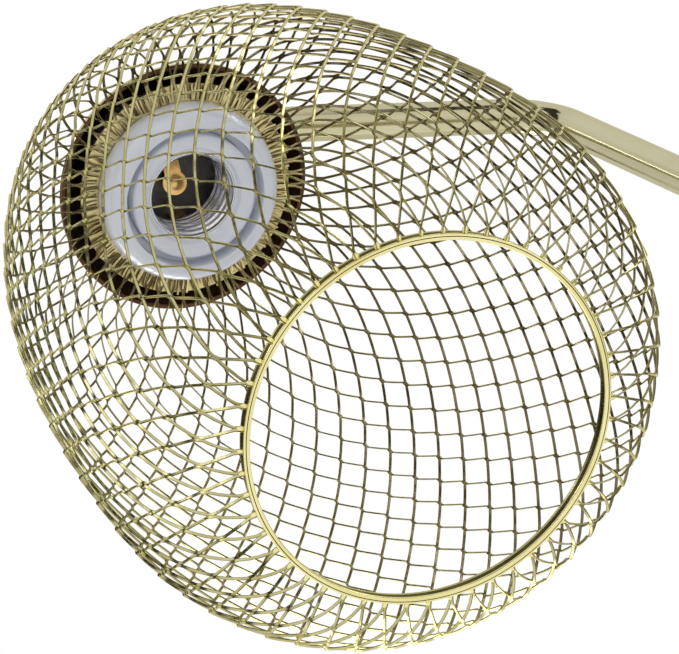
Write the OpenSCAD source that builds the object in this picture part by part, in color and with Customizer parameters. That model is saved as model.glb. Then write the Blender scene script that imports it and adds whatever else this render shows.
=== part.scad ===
// A table lamp: a bulb-shaped shade of expanded metal hangs from a lampholder under a bent tube stem
// on a round weighted base. The origin is the middle of the base's underside, +Z is up, and the arm
// runs along -X from the post to the shade.

/* [Base] */
// Radius of the round base
base_r = 90; // [70:1:120]
// Height of the base cover's top above the table
base_h = 18; // [17:0.5:24]
// Wall of the spun base cover
cover_wall = 1.2; // [0.8:0.1:1.6]
// Radius of the cover's top edge
cover_edge_r = 4; // [2.5:0.5:6]
// Height of the cover's lower edge above the table
cover_lift = 0.8; // [0.4:0.1:1.2]
// Thickness of the pad under the base
pad_t = 1.6; // [1:0.1:2]
// Bare rim of the weight's underside round the pad
pad_margin = 3; // [1:0.5:8]
// Thickness of the weight left over the nut
weight_web = 4.6; // [3.5:0.1:5.5]
// Radius of the nut's recess
recess_r = 14; // [13:0.5:18]
// Width of the cable channel under the weight
channel_w = 10; // [9:0.5:14]
// Height of the cable channel
channel_h = 9; // [8.2:0.1:10]
// Bore radius of the cable grommet
gland_r = 3.2; // [2.5:0.1:3.8]
// Wall of the cable grommet
gland_wall = 1.6; // [1.2:0.1:1.8]
// Height of the grommet's bore above the table
gland_z = 7.6; // [7.2:0.1:8]

/* [Stem] */
// Outer radius of the stem tube
tube_r = 6; // [5:0.25:6.5]
// Wall of the stem tube
tube_wall = 1.2; // [0.8:0.1:1.5]
// Radius of the bend's centre line
bend_r = 20; // [16:1:40]
// Height of the arm's centre line above the table
arm_h = 425; // [380:5:480]
// Distance from the shade's axis to where the centre lines of arm and post meet
arm_reach = 151; // [130:1:190]
// Lean of the post from upright, in degrees
post_lean = 12; // [0:1:15]
// Radius of the boss that holds the post
boss_r = 9.8; // [9.2:0.1:12]
// Length of the boss along the post
boss_l = 24; // [18:1:32]
// Radius of the boss's foot flange
boss_flange_r = 17; // [15:0.5:24]
// Thickness of the boss's foot flange
boss_flange_t = 4.5; // [4:0.5:6]
// Radius of the hollow threaded stud under the boss, and of the nipple
thread_r = 5; // [4.8:0.1:5.2]
// Bore radius of the stud and of the nipple
thread_bore_r = 3.3; // [3.1:0.1:3.6]
// Radius of the hub at the arm's end
hub_r = 9.4; // [9:0.1:12]
// Height of the hub above the arm's centre line
hub_top = 9; // [8.5:0.1:12]
// Radius of the grub screws
grub_r = 1.75; // [1.5:0.05:2]

/* [Lampholder] */
// Height of the arm's centre line above the lampholder's mouth
mouth_drop = 72.5; // [70:0.5:76]
// Outer radius of the threaded sleeve
sleeve_r = 20; // [19:0.25:21]
// Length of the sleeve from the mouth to the top of its shoulder
sleeve_l = 33.5; // [31:0.5:35]
// Bore radius of the lamp thread
lamp_thread_r = 13.3; // [13.1:0.1:13.5]
// Radius of the sleeve's flared mouth
mouth_r = 17.2; // [15:0.1:17.4]
// Wall of the metal screw shell
shell_wall = 0.5; // [0.4:0.05:0.6]
// Length of the screw shell
shell_l = 17; // [12:0.5:17]
// Depth from the mouth to the contact insert
insert_depth = 25.5; // [25:0.1:26]
// Outer radius of the shade ring
shade_ring_r = 28.5; // [27:0.5:30]
// Height of the shade ring
shade_ring_h = 10.2; // [9:0.1:12]
// Height of the shade ring's domed flank
ring_dome_h = 7.8; // [6:0.1:8.2]
// Width of the contact tongue
tongue_w = 6.5; // [5:0.5:8]
// Thickness of the contact tongue
tongue_t = 0.5; // [0.4:0.1:0.7]
// Slope of the contact tongue, in degrees
tongue_slope = 20; // [16:1:24]
// Turn of the contact tongue about the lampholder's axis, in degrees
tongue_turn = 80; // [0:1:90]

/* [Cup] */
// Radius of the cup's rim
cup_r = 40; // [38:0.5:46]
// Radius at the top of the cup's cone
cup_waist_r = 22.5; // [21.5:0.5:26]
// Wall of the cup
cup_wall = 1; // [0.8:0.1:1.4]

/* [Shade] */
// Inner radius of the opening ring
opening_r = 49.5; // [42:0.5:58]
// Thickness of the opening ring's bar
ring_bar_t = 1.8; // [1.4:0.1:2.2]
// Height of the opening ring's bar
ring_bar_h = 4; // [3:0.1:5]
// Radius of the shade at its belly
belly_r = 81.4; // [72:0.5:90]
// Height of the belly above the opening ring
belly_h = 55; // [45:1:65]
// Height of the fitter plate above the opening ring
shade_h = 201.5; // [180:0.5:225]
// Length of the curve's handle at the belly
belly_pull = 112; // [80:1:118]
// Length of the curve's handle at the neck
neck_pull = 27; // [20:1:40]
// Fall of the curve's handle at the neck
neck_fall = 1.4; // [0.5:0.1:4]
// Outer radius of the fitter plate
fitter_r = 34; // [32:0.5:36]
// Thickness of the fitter plate
fitter_t = 1.2; // [0.8:0.1:1.6]
// Columns of open cells round the shade
net_columns = 26; // [18:1:28]
// Length of a strand from joint to joint
strand_l = 20.4; // [19:0.1:26]
// Width of a strand
strand_w = 1.8; // [1.2:0.1:2.2]
// Thickness of a strand
strand_t = 1; // [0.8:0.1:1.2]

/* [Hidden] */
$fn = 96;

// Clearances: a running fit, a loose hole, a seat, and the gap between parts that move apart
fit = 0.05;
loose = 0.4;
seat = 0.1;
part_gap = 0.3;
past = 1;

pale_gold = [0.80, 0.76, 0.52];
raw_gold = [0.72, 0.62, 0.36];
dark_steel = [0.25, 0.25, 0.26];
zinc = [0.72, 0.73, 0.75];
white = [0.90, 0.92, 0.95];
brass = [0.85, 0.60, 0.25];
dark_plastic = [0.16, 0.15, 0.15];
brown_core = [0.45, 0.28, 0.16];
blue_core = [0.30, 0.45, 0.75];

// Sides of a round piece: tubes, wires and small holes, screws
tube_sides = 64;
wire_sides = 32;
screw_sides = 24;
slot_w = 0.4;
slot_depth = 0.6;

// Base, from the table up
weight_z = pad_t + seat;
weight_top = base_h - cover_wall - seat;
weight_r = base_r - cover_wall - loose;
web_z = weight_top - weight_web;
base_washer_t = 1.5;
base_washer_r = 12;
base_nut_h = 4.2;
base_nut_r = 9.8;
washer_z = web_z - seat - base_washer_t;
nut_z = washer_z - seat - base_nut_h;
stud_past_nut = 0.4;
stud_end = nut_z - stud_past_nut;
gland_out_r = gland_r + gland_wall;
gland_flange = 1.5;
gland_flange_t = 1.6;
gland_inner_r = gland_out_r + gland_flange / 2;
gland_inner_x = base_r - cover_wall - 3 * seat - gland_flange_t;

// Leads: two cores side by side, each in its own upright plane
lead_r = 1;
lead_y = 1.7;
lead_turn_r = 1.9;
lead_lift = 0.5;
lead_z = weight_z + lead_r + lead_lift;
lead_drop = 6;
lead_sides = 8;
lead_arc_steps = 10;
block_l = 16;
block_w = channel_w - 2 * seat;
block_h = 6;
block_inset = 10;
block_x = recess_r + block_inset;
block_screw_r = 1.2;
block_screw_l = 3;
block_screw_inset = 4;

// Stem: the post's line crosses the middle of the base at the cover's top
vertex_x = -(arm_h - base_h) * tan(post_lean);
shade_x = vertex_x - arm_reach;
bend_turn = 90 - post_lean;
bend_tangent = bend_r * tan(bend_turn / 2);
bend_swell = 0.05;
bend_lap = 0.5;
bend_x = vertex_x - bend_tangent;
bend_z = arm_h - bend_r;
post_top = (arm_h - base_h) / cos(post_lean) - bend_tangent;
boss_floor = 5.5;
boss_start = boss_r * sin(post_lean) + part_gap;
boss_edge_r = 1.5;
post_foot = boss_floor + seat;
post_l = post_top - post_foot;
arm_end_gap = 1;
arm_end = shade_x + thread_r + arm_end_gap;
arm_l = bend_x - arm_end;
boss_screw_at = 15;
grub_socket_r = 0.9;

// Hub, cup top and lampholder, stacked down from the arm
hub_floor = 2.9;
hub_z = arm_h - tube_r - fit - hub_floor;
hub_edge_r = 1.5;
cup_top = hub_z - seat;
nipple_nut_h = 3.4;
nipple_nut_r = 9;
nipple_nut_z = cup_top - cup_wall - seat - nipple_nut_h;
mouth_z = arm_h - mouth_drop;
cap_z = mouth_z + sleeve_l + seat;
cap_top = nipple_nut_z - seat;
cap_wall = 2;
cap_over = 2;
cap_r = sleeve_r + cap_over;
cap_straight = 8.5;
cap_neck_r = 9.5;
cap_neck_h = 8;
cap_collar_h = 4;
nipple_z = cap_top - cap_neck_h + past;
nipple_top = hub_z + hub_floor - seat;

// Inside the lampholder, up from the mouth
shoulder_w = 3;
shoulder_r = sleeve_r + shoulder_w;
shoulder_t = 3;
lip_r = 1.5;
shell_out_r = lamp_thread_r + shell_wall;
shell_inset = 2.4;
shell_z = mouth_z + shell_inset;
shell_top = shell_z + shell_l;
insert_z = mouth_z + insert_depth;
insert_wall = 2.5;
insert_r = sleeve_r - insert_wall;
insert_t = cap_z - insert_z - seat;
post_w = 5;
post_h = 5.5;
post_y = 8;
post_z = insert_z + insert_t + seat;
terminal_screw_r = 1.4;
terminal_screw_l = 3;
tongue_l = 14;
tongue_root = -7.6;
tongue_drop = 0.45;
tongue_z = insert_z - tongue_drop;
side_contact_w = 5;
side_contact_t = 0.8;
rivet_r = 1.7;
rivet_h = 1.2;

// Shade ring, fitter plate and backing ring
ring_under = 1.5;
ring_z = mouth_z - ring_under;
ring_top = ring_z + shade_ring_h;
ring_entry = 1.6;
ring_face_w = 0.8;
ring_face_r = sleeve_r + ring_entry + ring_face_w;
ring_back_edge = 0.4;
dome_steps = 6;
fitter_z = ring_top + part_gap;
backing_r = 27;
backing_z = fitter_z + fitter_t + part_gap;
backing_h = 4;
cup_gap = 0.9;
cup_z = fitter_z + cup_gap;
cone_h = 39;
cup_shoulder_r = cup_waist_r - 3;
cup_shoulder_z = cup_z + cone_h + 6;
cup_top_r = cup_waist_r - 8;

// Shade profile: a quarter ellipse from the opening ring to the belly, then one curve to the neck
opening_z = fitter_z - shade_h;
ring_r = opening_r + ring_bar_t / 2;
// How far the ring's bar reaches below the net's first edge, and the rounding of its edges
ring_bar_low = 1.2;
ring_bar_edge = 0.5;
neck_gap = 1.6;
neck_r = shade_ring_r + neck_gap;
neck_h = shade_h - seat - strand_t / 2;
profile_steps = 40;
tangent_step = 0.5;
least_step = 1;

function lower_point(t) = [ring_r + (belly_r - ring_r) * sin(t), belly_h * (1 - cos(t))];
function bezier(a, b, c, d, t) =
    pow(1 - t, 3) * a + 3 * pow(1 - t, 2) * t * b + 3 * (1 - t) * t * t * c + pow(t, 3) * d;
function upper_point(t) = bezier([belly_r, belly_h], [belly_r, belly_h + belly_pull],
    [neck_r + neck_pull, neck_h - neck_fall], [neck_r, neck_h], t);
profile = concat(
    [for (i = [0:profile_steps - 1]) lower_point(90 * i / profile_steps)],
    [for (i = [0:2 * profile_steps]) upper_point(i / (2 * profile_steps))]);
run_lengths = [for (i = 0, s = 0; i < len(profile);
    s = s + (i + 1 < len(profile) ? norm(profile[i + 1] - profile[i]) : 0), i = i + 1) s];
run_total = run_lengths[len(run_lengths) - 1];
r_table = [for (i = [0:len(profile) - 1]) [run_lengths[i], profile[i][0]]];
z_table = [for (i = [0:len(profile) - 1]) [run_lengths[i], profile[i][1]]];
function along(s) = [lookup(s, r_table), lookup(s, z_table)];
function outward(s) = let (d = along(s + tangent_step) - along(s - tangent_step)) [d[1], -d[0]] / norm(d);

// Rows of joints: every strand has one length, so the rows close up where the shade is wide
function half_cell(s) = PI * along(s)[0] / net_columns;
function row_step(s) = sqrt(max(least_step, strand_l * strand_l - pow(half_cell(s), 2)));
tip_l = 1.2;
net_start = ring_bar_t / 2 + part_gap + tip_l;
net_end_gap = 0.5;
net_end = run_total - tip_l - net_end_gap;
raw_rows = [for (s = net_start; s < net_end; s = s + row_step(s)) s];
net_rows = len(raw_rows) - 1;
net_stretch = (net_end - net_start) / (raw_rows[net_rows] - net_start);
rows = [for (s = raw_rows) net_start + (s - net_start) * net_stretch];

module disc_section(r, h, edge) {
    square([r - edge, h]);
    square([r, h - edge]);
    translate([r - edge, h - edge]) circle(edge, $fn = wire_sides);
}

module disc(r, h, edge) rotate_extrude() intersection() {
    disc_section(r, h, edge);
    square([r, h]);
}

module ring_disc(outer, inner, h) difference() {
    cylinder(r = outer, h = h);
    translate([0, 0, -past]) cylinder(r = inner, h = h + 2 * past);
}

module hex_nut(r, bore, h) difference() {
    cylinder(r = r, h = h, $fn = 6);
    translate([0, 0, -past]) cylinder(r = bore, h = h + 2 * past);
}

module grub_screw(l) difference() {
    cylinder(r = grub_r, h = l);
    translate([0, 0, l / 2]) cylinder(r = grub_socket_r, h = l, $fn = 6);
}

// Everything on the post's own line, measured along it from the middle of the cover's top
module on_post(distance) translate([0, 0, base_h]) rotate([0, -post_lean, 0])
    translate([0, 0, distance]) children();

// A round rod along the stem's centre line, with its ends pushed out by extra. The bend is a touch
// fatter than the straights, which lap into it.
module stem_run(r, extra) {
    translate([bend_x, 0, bend_z]) rotate([90, 0, 0]) rotate([0, 0, post_lean]) {
        rotate_extrude(angle = bend_turn) translate([bend_r, 0]) circle(r + bend_swell, $fn = tube_sides);
        translate([bend_r, bend_lap, 0]) rotate([90, 0, 0])
            cylinder(r = r, h = post_l + bend_lap + extra);
        rotate([0, 0, bend_turn]) translate([bend_r, -bend_lap, 0]) rotate([-90, 0, 0])
            cylinder(r = r, h = arm_l + bend_lap + extra);
    }
}

module base_pad() color(dark_steel) cylinder(r = weight_r - pad_margin, h = pad_t);

module base_cover() color(pale_gold) difference() {
    translate([0, 0, cover_lift]) disc(base_r, base_h - cover_lift, cover_edge_r);
    translate([0, 0, cover_lift - past])
        disc(base_r - cover_wall, base_h - cover_wall - cover_lift + past, cover_edge_r - cover_wall);
    cylinder(r = thread_r + loose, h = base_h + past);
    translate([base_r - past - 2 * cover_wall, 0, gland_z]) rotate([0, 90, 0])
        cylinder(r = gland_out_r + seat, h = 2 * past + 4 * cover_wall);
}

module base_weight() color(dark_steel) difference() {
    translate([0, 0, weight_z]) disc(weight_r, weight_top - weight_z, cover_edge_r);
    translate([0, 0, weight_z - past]) cylinder(r = recess_r, h = web_z - weight_z + past);
    cylinder(r = thread_r + loose, h = base_h);
    translate([0, -channel_w / 2, weight_z - past]) cube([base_r, channel_w, channel_h + past]);
    translate([gland_inner_x - loose, 0, gland_z]) rotate([0, 90, 0])
        cylinder(r = gland_inner_r + loose, h = base_r);
}

module cable_grommet() color(dark_steel) difference() {
    translate([gland_inner_x, 0, gland_z]) rotate([0, 90, 0]) {
        cylinder(r = gland_inner_r, h = gland_flange_t);
        cylinder(r = gland_out_r, h = base_r + seat - gland_inner_x);
        translate([0, 0, base_r + seat - gland_inner_x])
            cylinder(r = gland_out_r + gland_flange, h = gland_flange_t);
    }
    translate([gland_inner_x - past, 0, gland_z]) rotate([0, 90, 0]) cylinder(r = gland_r, h = base_r);
}

module terminal_block() color(white) difference() {
    translate([block_x, -block_w / 2, weight_z + seat]) cube([block_l, block_w, block_h]);
    for (y = [-lead_y, lead_y]) translate([block_x - past, y, lead_z]) rotate([0, 90, 0])
        cylinder(r = lead_r + fit, h = block_l + 2 * past, $fn = screw_sides);
    for (y = [-lead_y, lead_y], x = [block_screw_inset, block_l - block_screw_inset])
        translate([block_x + x, y, lead_z + lead_r])
            cylinder(r = block_screw_r + fit, h = block_h, $fn = screw_sides);
}

module terminal_block_screws() color(zinc)
    for (y = [-lead_y, lead_y], x = [block_screw_inset, block_l - block_screw_inset])
        translate([block_x + x, y, lead_z + lead_r + seat]) difference() {
            cylinder(r = block_screw_r, h = block_screw_l, $fn = screw_sides);
            translate([-block_screw_r, -slot_w / 2, block_screw_l - slot_depth])
                cube([2 * block_screw_r, slot_w, past]);
        }

module stem_boss() color(pale_gold) difference() {
    union() {
        translate([0, 0, base_h]) disc(boss_flange_r, boss_flange_t, boss_edge_r);
        on_post(boss_start) disc(boss_r, boss_l - boss_start, boss_edge_r);
        translate([0, 0, stud_end]) cylinder(r = thread_r, h = base_h - stud_end + past);
    }
    on_post(boss_floor) cylinder(r = tube_r + fit, h = boss_l);
    translate([0, 0, stud_end - past])
        cylinder(r = thread_bore_r, h = base_h - stud_end + boss_floor + 2 * past);
    on_post(boss_screw_at) rotate([0, 90, 0]) cylinder(r = grub_r + fit, h = boss_r + past);
}

module boss_grub_screw() color(zinc) on_post(boss_screw_at) rotate([0, 90, 0])
    translate([0, 0, tube_r + seat]) grub_screw(boss_r - tube_r - 2 * seat);

module base_washer() color(zinc)
    translate([0, 0, washer_z]) ring_disc(base_washer_r, thread_r + loose, base_washer_t);

module base_nut() color(zinc) translate([0, 0, nut_z]) hex_nut(base_nut_r, thread_r + fit, base_nut_h);

module stem_tube() color(pale_gold) difference() {
    stem_run(tube_r, 0);
    stem_run(tube_r - tube_wall, past);
}

module arm_hub() color(pale_gold) difference() {
    translate([shade_x, 0, hub_z]) disc(hub_r, arm_h + hub_top - hub_z, hub_edge_r);
    translate([arm_end - seat, 0, arm_h]) rotate([0, 90, 0]) cylinder(r = tube_r + fit, h = 2 * hub_r);
    translate([shade_x, 0, arm_h - thread_r]) cylinder(r = thread_r, h = 2 * thread_r);
    translate([shade_x, 0, arm_h]) rotate([0, 90, 0])
        cylinder(r = tube_r - tube_wall, h = arm_end - shade_x);
    translate([shade_x, 0, hub_z - past]) cylinder(r = thread_r + fit, h = hub_floor + tube_r);
    translate([arm_end + grub_r + past, 0, arm_h])
        cylinder(r = grub_r + fit, h = hub_top + past);
}

module hub_grub_screw() color(zinc) translate([arm_end + grub_r + past, 0, arm_h + tube_r + seat])
    grub_screw(hub_top - tube_r - 2 * seat);

module nipple() color(zinc) translate([shade_x, 0, nipple_z])
    ring_disc(thread_r, thread_bore_r, nipple_top - nipple_z);

module nipple_nut() color(zinc) translate([shade_x, 0, nipple_nut_z])
    hex_nut(nipple_nut_r, thread_r + fit, nipple_nut_h);

// The cup's outline, moved in by wall: a cone from the rim to the waist, then a shoulder to the top
module cup_outline(wall, lowest) polygon([[0, lowest], [cup_r - wall, lowest], [cup_r - wall, cup_z],
    [cup_waist_r - wall, cup_z + cone_h], [cup_shoulder_r - wall, cup_shoulder_z],
    [cup_top_r - wall, cup_top - wall], [0, cup_top - wall]]);

module cup() color(pale_gold) translate([shade_x, 0, 0]) difference() {
    rotate_extrude() cup_outline(0, cup_z);
    rotate_extrude() cup_outline(cup_wall, cup_z - past);
    translate([0, 0, cup_top - cup_wall - past]) cylinder(r = thread_r + fit, h = cup_wall + 2 * past);
}

// One core of the leads: along the channel, up the stud, through the stem, down into the lampholder
function arc(x, z, r, from, to, y) = [for (i = [0:lead_arc_steps])
    let (a = from + (to - from) * i / lead_arc_steps) [x + r * cos(a), y, z + r * sin(a)]];
function lead_path(y) = concat(
    [[block_x + block_l / 2, y, lead_z]],
    arc(lead_turn_r, lead_z + lead_turn_r, lead_turn_r, 270, 180, y),
    [[0, y, base_h], [-sin(post_lean) * post_foot, y, base_h + cos(post_lean) * post_foot]],
    arc(bend_x, bend_z, bend_r, post_lean, 90, y),
    arc(shade_x + lead_turn_r, arm_h - lead_turn_r, lead_turn_r, 90, 180, y),
    [[shade_x, y, post_z + post_h + lead_drop], [shade_x, sign(y) * post_y, post_z + post_h + lead_r]]);
function sweep_ring(path, i, r) = let (
    run = path[min(i + 1, len(path) - 1)] - path[max(i - 1, 0)],
    across = cross(run, [0, 1, 0]) / norm(cross(run, [0, 1, 0])),
    over = cross(run, across) / norm(run))
    [for (k = [0:lead_sides - 1]) let (a = 360 * k / lead_sides)
        path[i] + r * (cos(a) * across + sin(a) * over)];
function sweep_faces(rings) = concat(
    [[for (k = [0:lead_sides - 1]) k]],
    [for (i = [0:rings - 2], k = [0:lead_sides - 1]) let (a = i * lead_sides, b = (k + 1) % lead_sides)
        each [[a + k, a + k + lead_sides, a + b + lead_sides], [a + k, a + b + lead_sides, a + b]]],
    [[for (k = [lead_sides - 1:-1:0]) (rings - 1) * lead_sides + k]]);

module lead(y) {
    path = lead_path(y);
    polyhedron(points = [for (i = [0:len(path) - 1]) each sweep_ring(path, i, lead_r)],
        faces = sweep_faces(len(path)));
}

module live_lead() color(brown_core) lead(lead_y);

module neutral_lead() color(blue_core) lead(-lead_y);

module cap_outline(wall) polygon([[0, cap_z], [cap_r - wall, cap_z], [cap_r - wall, cap_z + cap_straight],
    [cap_neck_r - wall / 2, cap_top - cap_collar_h - wall], [cap_neck_r - wall / 2, cap_top - wall],
    [0, cap_top - wall]]);

module lampholder_cap() color(white) translate([shade_x, 0, 0]) difference() {
    rotate_extrude() cap_outline(0);
    difference() {
        translate([0, 0, -seat]) rotate_extrude() cap_outline(cap_wall);
        translate([0, 0, cap_top - cap_neck_h]) cylinder(r = cap_neck_r, h = cap_neck_h);
    }
    translate([0, 0, cap_z]) cylinder(r = thread_r + fit, h = cap_top - cap_z + past);
}

module terminal_posts() color(brass) for (side = [-1, 1])
    translate([shade_x - post_w / 2, side * post_y - post_w / 2, post_z]) cube([post_w, post_w, post_h]);

module terminal_screws() color(zinc) for (side = [-1, 1])
    translate([shade_x, side * (post_y + post_w / 2 + seat), post_z + post_h / 2]) rotate([-90 * side, 0, 0])
        difference() {
            cylinder(r = terminal_screw_r, h = terminal_screw_l, $fn = screw_sides);
            translate([-terminal_screw_r, -slot_w / 2, terminal_screw_l - slot_depth])
                cube([2 * terminal_screw_r, slot_w, past]);
        }

module contact_insert() color(dark_plastic) translate([shade_x, 0, insert_z])
    cylinder(r = insert_r, h = insert_t);

module screw_shell() color(zinc) translate([shade_x, 0, shell_z])
    ring_disc(shell_out_r, lamp_thread_r, shell_l);

module side_contact() color(brass) translate([shade_x, 0, 0]) rotate([0, 0, tongue_turn])
    translate([shell_out_r - side_contact_t, -side_contact_w / 2, shell_top + seat])
        cube([side_contact_t, side_contact_w, insert_z - shell_top - 2 * seat]);

module tongue_rivet() color(brass) translate([shade_x, 0, 0]) rotate([0, 0, tongue_turn])
    translate([tongue_root - rivet_r - part_gap, 0, insert_z - seat - rivet_h])
        cylinder(r = rivet_r, h = rivet_h);

module contact_tongue() color(brass) translate([shade_x, 0, 0]) rotate([0, 0, tongue_turn])
    translate([tongue_root, 0, tongue_z]) rotate([0, tongue_slope, 0]) translate([0, 0, -tongue_t]) {
        translate([0, -tongue_w / 2, 0]) cube([tongue_l - tongue_w / 2, tongue_w, tongue_t]);
        translate([tongue_l - tongue_w / 2, 0, 0]) cylinder(r = tongue_w / 2, h = tongue_t);
    }

module lampholder_sleeve() color(white) translate([shade_x, 0, mouth_z]) difference() {
    union() {
        translate([0, 0, lip_r]) cylinder(r = sleeve_r, h = sleeve_l - lip_r);
        mirror([0, 0, 1]) translate([0, 0, -2 * lip_r]) disc(sleeve_r, 2 * lip_r, lip_r);
        translate([0, 0, sleeve_l - shoulder_t]) cylinder(r = shoulder_r, h = shoulder_t);
    }
    translate([0, 0, -past]) cylinder(r = shell_out_r + fit, h = sleeve_l + 2 * past);
    translate([0, 0, -fit]) cylinder(r1 = mouth_r, r2 = shell_out_r, h = shell_inset);
    translate([0, 0, shell_top - mouth_z]) cylinder(r = insert_r + fit, h = sleeve_l);
}

module backing_ring() color(white) translate([shade_x, 0, backing_z])
    ring_disc(backing_r, sleeve_r + fit, backing_h);

module fitter_plate() color(raw_gold) translate([shade_x, 0, fitter_z])
    ring_disc(fitter_r, sleeve_r + loose, fitter_t);

// A joint of the net is where four strands meet. Each open cell has four corners, pulled in from
// the joints round it by half a strand's width. Corner slots: 0 lower, 1 upper, 2 left, 3 right.
// The half cells at both ends lend their free slot to the tip of the joint on their right.
function cell_of(row, column) = row * net_columns + (column + net_columns) % net_columns;
function lean_of(row) = let (s = rows[row], a = half_cell(s)) a / norm([a, row_step(s)]);
function rise(row) = strand_w / 2 / lean_of(row);
function reach(row) = strand_w / 2 / sqrt(1 - pow(lean_of(row), 2)) / half_cell(rows[row]);
function net_point(s, u, side) = let (
    p = along(s) + side * strand_t / 2 * outward(s),
    a = 180 * u / net_columns)
    [p[0] * cos(a), p[0] * sin(a), p[1]];
function cell_corners(row, u, side) = [
    row > 0 ? net_point(rows[row - 1] + rise(row - 1), u, side)
        : net_point(net_start - tip_l, u + 1, side),
    row < net_rows ? net_point(rows[row + 1] - rise(row + 1), u, side)
        : net_point(net_end + tip_l, u + 1, side),
    net_point(rows[row], u - 1 + reach(row), side),
    net_point(rows[row], u + 1 - reach(row), side)];
net_points = [for (side = [1, -1], row = [0:net_rows], c = [0:net_columns - 1], p =
    cell_corners(row, 2 * c + 1 - row % 2, side)) p];
net_half = 4 * net_columns * (net_rows + 1);
function slot(cell, corner) = 4 * cell + corner;
// The cell whose column lies left or right of a joint, half a column away, in the rows beside it
function left_cell(row, c) = cell_of(row, c);
function right_cell(row, c) = cell_of(row, c + 1);
function beside(row, c) = row % 2 == 1 ? c : c + 1;
// The joint on the right of cell c in its row is ringed by that cell, the next one, and the cells
// above and below
function joint_ring(row, c) = [
    row > 0 ? slot(cell_of(row - 1, beside(row, c)), 1) : slot(cell_of(0, c), 0),
    slot(right_cell(row, c), 2),
    row < net_rows ? slot(cell_of(row + 1, beside(row, c)), 0) : slot(cell_of(net_rows, c), 1),
    slot(left_cell(row, c), 3)];
// Strands rise from a joint to the right and to the left
function strand_right(row, c) = [slot(right_cell(row, c), 2), slot(right_cell(row, c), 1),
    slot(cell_of(row + 1, beside(row, c)), 3), slot(cell_of(row + 1, beside(row, c)), 0)];
function strand_left(row, c) = [slot(cell_of(row + 1, beside(row, c)), 0),
    slot(cell_of(row + 1, beside(row, c)), 2), slot(left_cell(row, c), 1), slot(left_cell(row, c), 3)];
function cell_loop(row, c) = let (k = cell_of(row, c))
    row == 0 ? [slot(k, 2), slot(k, 1), slot(k, 3)]
    : row == net_rows ? [slot(k, 3), slot(k, 0), slot(k, 2)]
    : [slot(k, 0), slot(k, 2), slot(k, 1), slot(k, 3)];
net_skin = concat(
    [for (row = [0:net_rows], c = [0:net_columns - 1]) joint_ring(row, c)],
    [for (row = [0:net_rows - 1], c = [0:net_columns - 1]) strand_right(row, c)],
    [for (row = [0:net_rows - 1], c = [0:net_columns - 1]) strand_left(row, c)]);
function split(f) = [[f[0], f[1], f[2]], [f[0], f[2], f[3]]];
function wall(a, b) = [[a, b, b + net_half], [a, b + net_half, a + net_half]];
cell_walls = [for (row = [0:net_rows], c = [0:net_columns - 1]) let (loop = cell_loop(row, c))
    for (i = [0:len(loop) - (row == 0 || row == net_rows ? 2 : 1)])
        each wall(loop[i], loop[(i + 1) % len(loop)])];
tip_walls = [for (c = [0:net_columns - 1]) each concat(
    wall(slot(cell_of(0, c), 3), slot(cell_of(0, c), 0)),
    wall(slot(cell_of(0, c), 0), slot(right_cell(0, c), 2)),
    wall(slot(right_cell(net_rows, c), 2), slot(cell_of(net_rows, c), 1)),
    wall(slot(cell_of(net_rows, c), 1), slot(cell_of(net_rows, c), 3)))];
net_faces = concat(
    [for (f = net_skin) each split([f[3], f[2], f[1], f[0]])],
    [for (f = net_skin) each split([for (i = f) i + net_half])],
    [for (f = cell_walls) f],
    [for (f = tip_walls) f]);

module shade_net() color(pale_gold) translate([shade_x, 0, opening_z])
    polyhedron(points = net_points, faces = net_faces);

module opening_ring() color(pale_gold) translate([shade_x, 0, opening_z])
    rotate_extrude() translate([opening_r + ring_bar_edge, ring_bar_edge - ring_bar_low])
        offset(ring_bar_edge, $fn = wire_sides)
            square([ring_bar_t - 2 * ring_bar_edge, ring_bar_h - 2 * ring_bar_edge]);

function dome_point(t) =
    [ring_face_r + (shade_ring_r - ring_face_r) * sin(t), ring_dome_h * (1 - cos(t))];

module shade_ring() color(white) translate([shade_x, 0, ring_z]) rotate_extrude() polygon(concat(
    [[sleeve_r + fit, ring_entry], [sleeve_r + ring_entry, 0]],
    [for (i = [0:dome_steps]) dome_point(90 * i / dome_steps)],
    [[shade_ring_r, shade_ring_h - ring_back_edge], [shade_ring_r - ring_back_edge, shade_ring_h],
        [sleeve_r + fit, shade_ring_h]]));

base_pad();
base_cover();
base_weight();
cable_grommet();
terminal_block();
terminal_block_screws();
stem_boss();
boss_grub_screw();
base_washer();
base_nut();
stem_tube();
arm_hub();
hub_grub_screw();
nipple();
nipple_nut();
cup();
live_lead();
neutral_lead();
lampholder_cap();
terminal_posts();
terminal_screws();
contact_insert();
screw_shell();
side_contact();
tongue_rivet();
contact_tongue();
lampholder_sleeve();
backing_ring();
fitter_plate();
shade_net();
opening_ring();
shade_ring();
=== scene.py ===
import math
import random

import bmesh
import bpy
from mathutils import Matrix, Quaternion, Vector


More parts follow.
